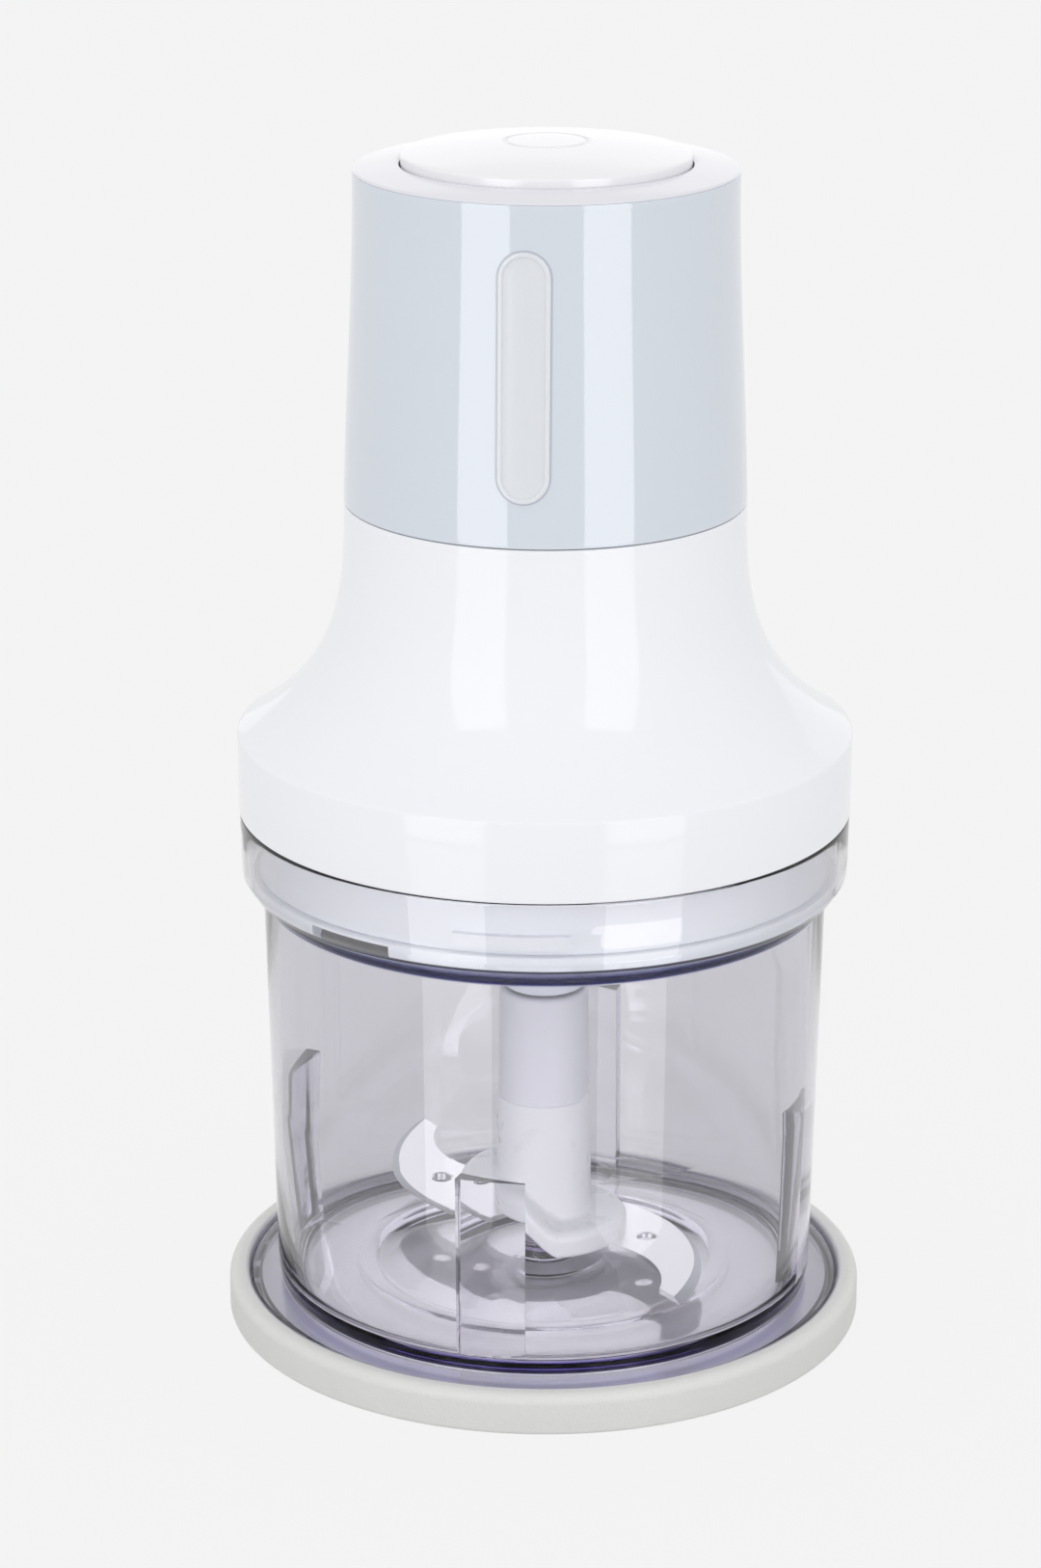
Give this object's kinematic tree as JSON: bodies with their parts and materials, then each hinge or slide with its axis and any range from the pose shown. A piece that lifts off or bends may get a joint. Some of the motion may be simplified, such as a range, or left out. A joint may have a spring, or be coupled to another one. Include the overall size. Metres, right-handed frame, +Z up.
{
  "type": "mini food chopper",
  "caption": "Mini food chopper: press-button motor unit on a clear bowl with a sickle-bladed knife on a spindle, standing in a non-slip base ring.",
  "frame": {"origin": "middle of the resting face, on the bowl's axis", "axes": "+Z up along the shaft; the badge faces -Y and the cord inlet faces +Y"},
  "size_m": [0.125, 0.125, 0.2326],
  "materials": {
    "grey_rubber": "matt off-white non-slip rubber",
    "clear_plastic": "clear moulded plastic with a faint cool tint",
    "white_moulding": "white satin moulding",
    "acetal": "natural acetal",
    "ground_steel": "stainless steel with a ground edge",
    "pale_plastic": "pale blue-white plastic",
    "silicone": "translucent white silicone",
    "white_gloss": "glossy white plastic",
    "grey_gloss": "glossy light blue-grey plastic",
    "button_white": "white plastic",
    "spring_steel": "spring wire",
    "lamination_steel": "stacked electrical steel",
    "copper_winding": "enamelled copper wire",
    "bearing_steel": "turned steel",
    "cast_alloy": "die-cast alloy",
    "screw_steel": "zinc-plated steel",
    "black_rubber": "black rubber",
    "brass_holder": "stamped brass",
    "carbon": "carbon brush",
    "board_green": "printed circuit board",
    "capacitor_case": "moulded film capacitor",
    "switch_black": "black switch moulding",
    "fan_plastic": "dark fan moulding",
    "coupler_grey": "grey drive coupler moulding"
  },
  "bodies": {
    "base": {"base_ring": "grey_rubber"},
    "bowl": {"bowl": "clear_plastic"},
    "knife": {"blade_column": "white_moulding", "column_bush": "acetal", "lower_blade": "ground_steel", "upper_blade": "ground_steel"},
    "splash_lid": {"splash_lid": "pale_plastic", "lid_seal": "silicone", "shaft_seal": "silicone"},
    "motor_unit": {"bottom_cover": "pale_plastic", "motor_housing": "white_gloss", "sleeve": "grey_gloss", "badge": "grey_gloss", "top_cap": "white_gloss", "button_spring": "spring_steel", "stator_core": "lamination_steel", "field_coil_right": "copper_winding", "field_coil_left": "copper_winding", "lower_bearing": "bearing_steel", "upper_bearing": "bearing_steel", "lower_bracket": "cast_alloy", "upper_bracket": "cast_alloy", "motor_bolts": "screw_steel", "rubber_mounts": "black_rubber", "brush_holder_front": "brass_holder", "brush_holder_rear": "brass_holder", "carbon_brush_front": "carbon", "carbon_brush_rear": "carbon", "circuit_board": "board_green", "suppression_capacitor": "capacitor_case", "choke_coils": "copper_winding", "switch_block": "switch_black", "cord_gland": "black_rubber", "cord_clamp": "white_moulding", "housing_screws": "screw_steel", "clamp_screws": "screw_steel"},
    "armature": {"armature_shaft": "bearing_steel", "armature_core": "lamination_steel", "armature_windings": "copper_winding", "commutator": "copper_winding", "cooling_fan": "fan_plastic", "drive_coupler": "coupler_grey", "coupler_pin": "bearing_steel"},
    "button": {"button": "button_white"},
    "plunger": {"switch_plunger": "switch_black"}
  },
  "joints": [
    {"name": "bowl_lift", "type": "slide", "parent": "base", "child": "bowl", "axis": [0, 0, 1], "range_m": [0, 0.03]},
    {"name": "knife_spin", "type": "hinge", "parent": "bowl", "child": "knife", "pos_m": [0, 0, 0], "axis": [0, 0, 1], "continuous": true},
    {"name": "lid_lift", "type": "slide", "parent": "bowl", "child": "splash_lid", "axis": [0, 0, 1], "range_m": [0, 0.07]},
    {"name": "motor_twist", "type": "hinge", "parent": "splash_lid", "child": "motor_unit", "pos_m": [0, 0, 0], "axis": [0, 0, 1], "range_deg": [0, 28]},
    {"name": "armature_spin", "type": "hinge", "parent": "splash_lid", "child": "armature", "pos_m": [0, 0, 0], "axis": [0, 0, 1], "continuous": true},
    {"name": "button_press", "type": "slide", "parent": "motor_unit", "child": "button", "axis": [0, 0, -1], "range_m": [0, 0.0028], "stiffness_N_per_m": 600, "springref_m": -0.002, "deforming": ["button_spring"]},
    {"name": "plunger_press", "type": "slide", "parent": "motor_unit", "child": "plunger", "axis": [0, 0, -1], "range_m": [0, 0.0028]}
  ],
  "couplings": [
    {"joint": "knife_spin", "follows": "armature_spin", "ratio": 1},
    {"joint": "plunger_press", "follows": "button_press", "ratio": 1}
  ]
}
